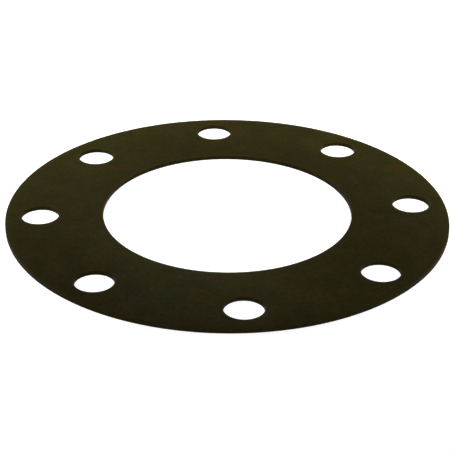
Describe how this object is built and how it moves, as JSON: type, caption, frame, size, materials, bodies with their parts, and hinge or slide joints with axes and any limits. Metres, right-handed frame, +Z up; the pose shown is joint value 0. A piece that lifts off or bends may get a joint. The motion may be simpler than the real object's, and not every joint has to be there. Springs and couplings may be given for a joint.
{
  "type": "flange gasket",
  "caption": "Flat full-face ring gasket cut from dark olive-black rubber sheet, with a wide central bore and a ring of round bolt holes, clamped between two pipe flanges.",
  "frame": {"origin": "centre of the bore on the lower face, which is the face the gasket lies on", "axes": "+Z up along the bore and bolt hole axes, out of the upper face; +X through the centre of the first bolt hole"},
  "size_m": [0.284, 0.284, 0.003],
  "materials": {
    "rubber": "matt calendered sheet rubber, very dark olive brown, with knife-cut edges"
  },
  "bodies": {
    "root": {"gasket": "rubber"}
  },
  "joints": []
}
